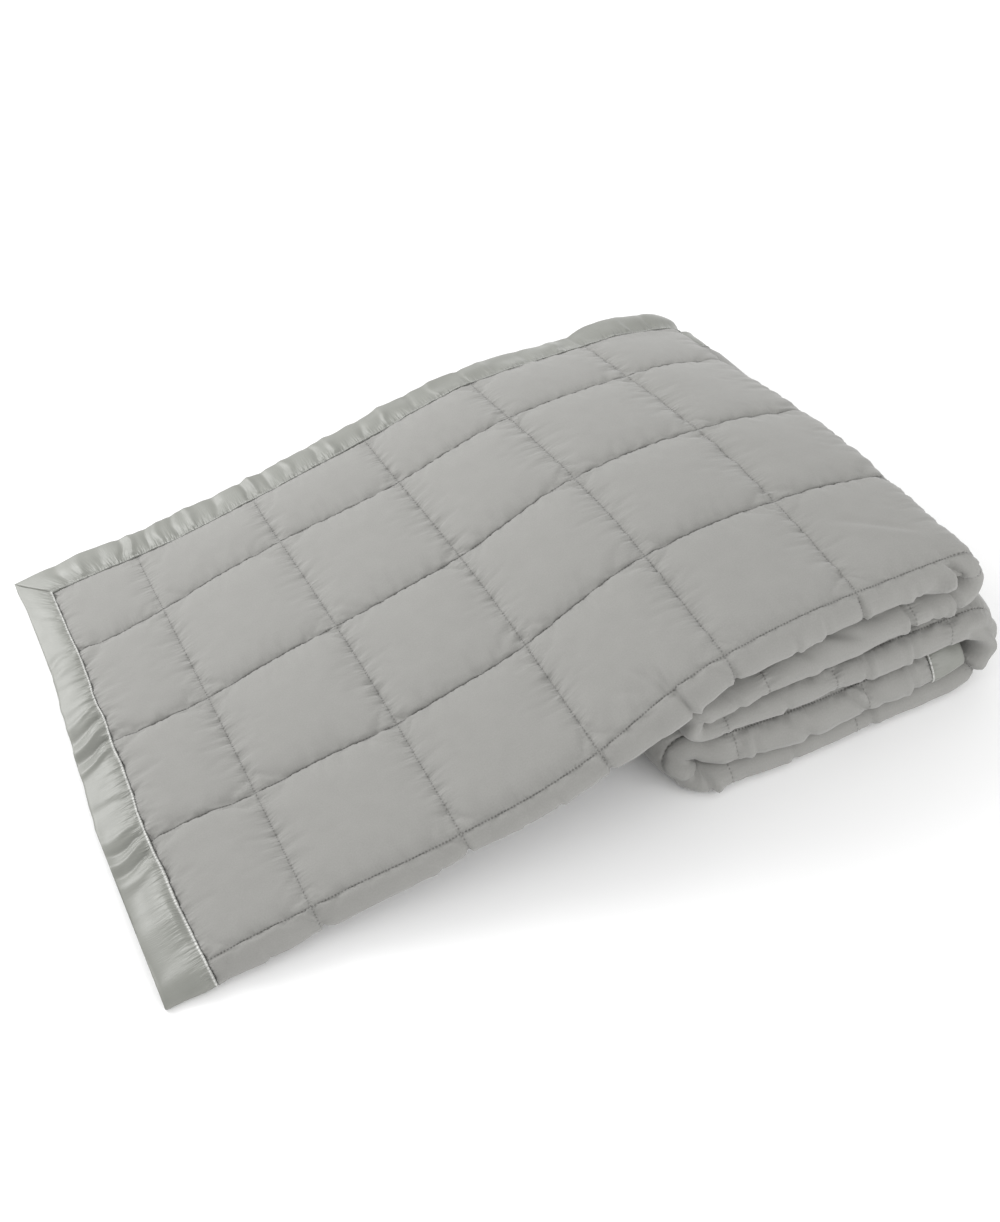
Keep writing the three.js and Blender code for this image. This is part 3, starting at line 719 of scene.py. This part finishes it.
# The same along the far side: (distance along, slide, width, depth).
SIDE_FOLDS = (
    (0.16, 0.10, 3.5, -3.4), (0.28, 0.12, 4.0, 3.0), (0.44, 0.06, 5.0, -2.2),
    (0.60, 0.06, 3.0, -3.6), (0.70, 0.04, 3.0, 4.0), (0.84, 0.02, 3.0, -3.0),
    (0.95, 0.02, 3.5, 2.6), (1.08, 0.02, 3.0, -2.8), (1.22, 0.04, 3.5, 3.0),
    (1.42, 0.05, 4.5, -3.4), (1.70, -0.02, 3.0, -3.4), (1.80, -0.04, 3.0, 3.6),
    (1.92, -0.04, 3.5, -3.0), (2.12, -0.04, 3.5, 2.4), (2.34, -0.02, 4.0, -3.0),
    (2.50, 0.0, 4.0, 2.6), (2.76, 0.02, 4.0, -2.6), (2.98, 0.04, 3.5, 2.2),
    (3.24, 0.03, 4.0, -2.6), (3.48, 0.0, 4.0, 2.4), (3.72, 0.02, 3.0, -3.0),
    (3.92, 0.02, 4.0, 2.0), (4.24, 0.04, 5.0, -2.4), (4.52, 0.0, 4.0, 2.0),
    (4.74, 0.0, 3.5, -2.6), (5.16, 0.03, 4.0, 2.2), (5.40, 0.03, 4.0, -2.2),
)


def satin_cloth():
    """Satin: a smooth face with a soft gloss, noise stretched along the float threads, a
    paler stitched cord where it is sewn to the quilt, pale partly from its thread and partly
    as a painted highlight, and gathers that fade away from it."""
    material = bpy.data.materials.new("satin")
    material.use_nodes = True
    tree = material.node_tree
    tree.nodes.clear()
    place = node(tree, "ShaderNodeTexCoord").outputs["UV"]
    parts = node(tree, "ShaderNodeSeparateXYZ", {0: place}).outputs
    streaks = node(tree, "ShaderNodeMapping", {"Vector": place, "Scale": (1.0, 0.12, 1.0)}).outputs[0]
    threads_and_seam_shade = node(tree, "ShaderNodeTexNoise", {"Vector": streaks, "Scale": 1100.0, "Detail": 3.0})
    cloud = node(tree, "ShaderNodeTexNoise", {"Vector": place, "Scale": 60.0, "Detail": 3.0})
    cloud_tone = sums(tree, "MULTIPLY", cloud.outputs["Fac"], 0.6)
    tone = sums(tree, "MULTIPLY_ADD", threads_and_seam_shade.outputs["Fac"], 0.4, cloud_tone)
    greys = {"Factor": tone, 6: (0.180, 0.184, 0.166, 1), 7: (0.238, 0.242, 0.220, 1)}
    base = node(tree, "ShaderNodeMix", greys, data_type="RGBA")
    # Pale cord along the seam: partly the thread's own colour and partly a painted highlight on the raised
    # edge, as strong as the piece's mark for it.
    away = sums(tree, "DIVIDE", sums(tree, "SUBTRACT", parts["Y"], CORD_PLACE), CORD_WIDTH)
    cord = sums(tree, "EXPONENT", sums(tree, "MULTIPLY", sums(tree, "MULTIPLY", away, away), -1.0))
    stitch = sums(tree, "SINE", sums(tree, "MULTIPLY", parts["X"], 2 * math.pi / CORD_STITCH))
    cord_thread_and_highlight = node(tree, "ShaderNodeAttribute", attribute_name="cord_thread_and_highlight").outputs["Fac"]
    lit = sums(tree, "MULTIPLY_ADD", stitch, 0.24, 0.66)
    pale_thread_and_highlight = sums(tree, "MULTIPLY", sums(tree, "MULTIPLY", cord, cord_thread_and_highlight), lit)
    colour = node(tree, "ShaderNodeMix", {"Factor": pale_thread_and_highlight, 6: base.outputs[2], 7: (0.72, 0.72, 0.70, 1)},
                  data_type="RGBA")

    here = node(tree, "ShaderNodeCombineXYZ", {0: sums(tree, "MULTIPLY", parts["X"], 330.0),
                                               1: sums(tree, "MULTIPLY", parts["Y"], 45.0)}).outputs[0]
    waves = node(tree, "ShaderNodeTexNoise", {"Vector": here, "Scale": 1.0, "Detail": 2.0})
    fade = sums(tree, "EXPONENT", sums(tree, "DIVIDE", parts["Y"], -0.0065))
    gathers = sums(tree, "MULTIPLY_ADD", sums(tree, "SUBTRACT", waves.outputs["Fac"], 0.5), fade,
                   sums(tree, "MULTIPLY", threads_and_seam_shade.outputs["Fac"], 0.03))
    bump = node(tree, "ShaderNodeBump", {"Strength": 1.0, "Distance": 0.0060, "Height": gathers})
    shader = node(tree, "ShaderNodeBsdfPrincipled", {
        "Base Color": colour.outputs[2], "Roughness": 0.42, "Specular IOR Level": 0.58,
        "Sheen Weight": 0.25, "Sheen Roughness": 0.35, "Normal": bump.outputs["Normal"],
    })
    output = node(tree, "ShaderNodeOutputMaterial")
    tree.links.new(shader.outputs["BSDF"], output.inputs["Surface"])
    return material


def ribbon(name, u, w, run_at, seed, folds, flip, crumple=1.0):
    """One binding: a flat tube over a grid of cloth places, raised in a cord at the seam and thin at
    its folded edge. Gathers run across it from the seam, and deep folds lie at a slant.
    crumple scales the height of them all."""
    half = smooth(BODY, u)
    s = np.broadcast_to(ACROSS_BAND, u.shape)
    r = np.broadcast_to(run_at[:, None], u.shape)
    swell = np.sqrt(np.clip(1 - ((s - 0.52) / 0.53) ** 2, 0, 1))
    thick = half * SATIN_HALF * (0.25 + 0.75 * swell) * (s < 0.999) + SATIN_FOLD / SQUARE
    loose = np.sin(math.pi * np.clip(s * 1.02, 0, 1)) ** 0.6
    strayed = r + 0.035 * noise(r * 3.1, s * 1.7, seed + 4) * ramp(s, 0.0, 0.6)
    height = 0.9 * noise(r * 13, s * 1.2, seed) * np.exp(-s * 2.5)
    height += 1.0 * noise(r * 27, s * 0.9, seed + 1) * np.exp(-s * 4.5) * ramp(s, 0.02, 0.10)
    height += 2.4 * noise(strayed * 3.4 - s * 0.3, s * 1.3, seed + 2) * loose
    height += 0.8 * noise(strayed * 7.0 - s * 0.6, s * 2.0, seed + 3) * loose
    for place, slide, wide, deep in folds:
        off = (strayed - place - 0.6 * slide * s) * SQUARE * 1000 / (wide * (0.65 + 0.9 * s))
        height += deep * np.exp(-off * off) * ramp(s, 0.0, 0.18) * (1 - 0.45 * s)
    height *= crumple
    cord = np.exp(-((s * BINDING * SQUARE - CORD_PLACE) / CORD_WIDTH) ** 2) * LIP
    top = folded(u, w, thick + (height * 0.001 + cord) / SQUARE)
    under = folded(u, w, -thick + np.minimum(height, 0) * 0.0005 / SQUARE)
    if flip:
        top, under = top[:, ::-1], under[:, ::-1]
    band = 1 - ACROSS_BAND[::-1] if flip else ACROSS_BAND
    cloth = np.stack([r, s * BINDING], -1) * SQUARE
    if flip:
        cloth = cloth[:, ::-1]
    cloth = np.concatenate([cloth.reshape(-1, 2), cloth.reshape(-1, 2)])
    # Strength of the cord's paleness and painted highlight: full on the end bindings, a quarter on the side
    # bindings.
    cord_thread_and_highlight = np.full(2 * r.size, 1.0 if "end" in name else 0.25)
    piece = solid(name + "_cloth", top, (run_at, band), under, (run_at, band), cloth, {"cord_thread_and_highlight": cord_thread_and_highlight})
    piece.data.materials.append(satin_material)
    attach(piece, "root")
    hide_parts(name)
    return piece


satin_material = satin_cloth()
side_u = np.concatenate([stations([0.0, SPLIT_SEAM], 0.0145), stations([SPLIT_SEAM, END_SEAM], 0.035)[1:]])
CORNER = END_WIDTH[0][1] / BINDING  # how far the far corner's mitre leans


def side_places(inner, out):
    """Grid of a binding on a long edge, leaning to a mitre at both ends, its outer edge
    a little uneven."""
    uneven = 1 + 0.13 * noise(side_u * 2.4, 0.5, 61) + 0.05 * noise(side_u * 7, 0.5, 62)
    lean_first = np.clip(1 - side_u / MITRE, 0, 1)[:, None]
    lean_last = np.clip(1 - (END_SEAM - side_u) / MITRE, 0, 1)[:, None]
    free = (1 - lean_first) * (1 - lean_last)
    reach = JOIN + ACROSS_BAND * (BINDING * (1 + (uneven[:, None] - 1) * free) - JOIN)
    u = side_u[:, None] + reach * (lean_last - CORNER * lean_first)
    w = inner + out * reach
    return u, w


end_w = np.concatenate([stations([0.0, 4.2], 0.0100), stations([4.2, *PLY_STARTS[3:]], 0.05)[1:]])


def end_places(inner, out, width):
    """Grid of a binding on a short edge, leaning to a mitre at both ends."""
    uneven = 1 + 0.07 * noise(end_w * 2.6, 0.5, 71) + 0.03 * noise(end_w * 8, 0.5, 72)
    reach = JOIN + ACROSS_BAND * (smooth(width, end_w) * uneven - JOIN)[:, None]
    lean_first = np.clip(1 - end_w / MITRE, 0, 1)[:, None]
    lean_last = np.clip(1 - (ACROSS_END - end_w) / MITRE, 0, 1)[:, None]
    w = end_w[:, None] + (JOIN + ACROSS_BAND * (BINDING - JOIN)) * (lean_last - lean_first)
    u = inner + out * reach
    return u, w


satin_pieces = [
    ribbon("satin_side_top", *side_places(0.0, -1), side_u, 11, SIDE_FOLDS, flip=True, crumple=1.6),
    ribbon("satin_side_inner", *side_places(ACROSS_END, 1), side_u, 21, (), flip=False),
    ribbon("satin_end_exposed", *end_places(0.0, -1, END_WIDTH), end_w, 31, END_FOLDS, flip=False),
    ribbon("satin_end_tucked", *end_places(END_SEAM, 1, ((0, BINDING), (1, BINDING))), end_w, 41, (),
           flip=True),
]

# ======================================================================
# Floor, light and camera.
# ======================================================================

FLOOR_HALF = 6.0  # half the side of the floor, metres
floor_mesh = bpy.data.meshes.new("floor")
corners = [(x * FLOOR_HALF, y * FLOOR_HALF, 0) for x, y in ((-1, -1), (1, -1), (1, 1), (-1, 1))]
floor_mesh.from_pydata(corners, [], [(0, 1, 2, 3)])
floor = bpy.data.objects.new("floor", floor_mesh)
floor.location.z = -0.0005
bpy.context.collection.objects.link(floor)
floor_paint = bpy.data.materials.new("floor")
floor_paint.use_nodes = True
floor_paint.node_tree.nodes["Principled BSDF"].inputs["Base Color"].default_value = (0.92, 0.92, 0.92, 1)
floor_paint.node_tree.nodes["Principled BSDF"].inputs["Roughness"].default_value = 1.0
floor_mesh.materials.append(floor_paint)

world = bpy.data.worlds.new("studio")
world.use_nodes = True
world.node_tree.nodes["Background"].inputs["Color"].default_value = (1, 1, 1, 1)
world.node_tree.nodes["Background"].inputs["Strength"].default_value = 0.95
bpy.context.scene.world = world


def softbox(name, place, size, power, target=(0.0, 0.0, 0.08)):
    """A square area light that faces the blanket."""
    light = bpy.data.lights.new(name, "AREA")
    light.size = size
    light.energy = power
    lamp = bpy.data.objects.new(name, light)
    bpy.context.collection.objects.link(lamp)
    lamp.location = place
    way = np.array(target) - np.array(place)
    flat = math.hypot(way[0], way[1])
    lamp.rotation_euler = (math.atan2(flat, -way[2]), 0, math.atan2(-way[0], way[1]))
    return lamp


softbox("key", (-1.35, 1.65, 1.35), 1.5, 46)
softbox("fill", (0.9, -2.2, 1.1), 2.2, 24)

# The camera stands in front of the left end and looks down on the blanket.
CAMERA_PLACE = (-0.4779, -1.0564, 1.2640)
CAMERA_TURN, CAMERA_DIP, CAMERA_ROLL = math.radians(-25.12), math.radians(46.77), math.radians(-1.68)
camera = bpy.data.objects.new("camera", bpy.data.cameras.new("camera"))
bpy.context.collection.objects.link(camera)
turned = (Matrix.Rotation(CAMERA_TURN, 3, "Z") @ Matrix.Rotation(math.pi / 2 - CAMERA_DIP, 3, "X")
          @ Matrix.Rotation(CAMERA_ROLL, 3, "Z"))
camera.rotation_euler = turned.to_euler()
camera.location = CAMERA_PLACE
camera.data.lens = 47.14
bpy.context.scene.camera = camera
bpy.context.scene.view_settings.view_transform = "Standard"
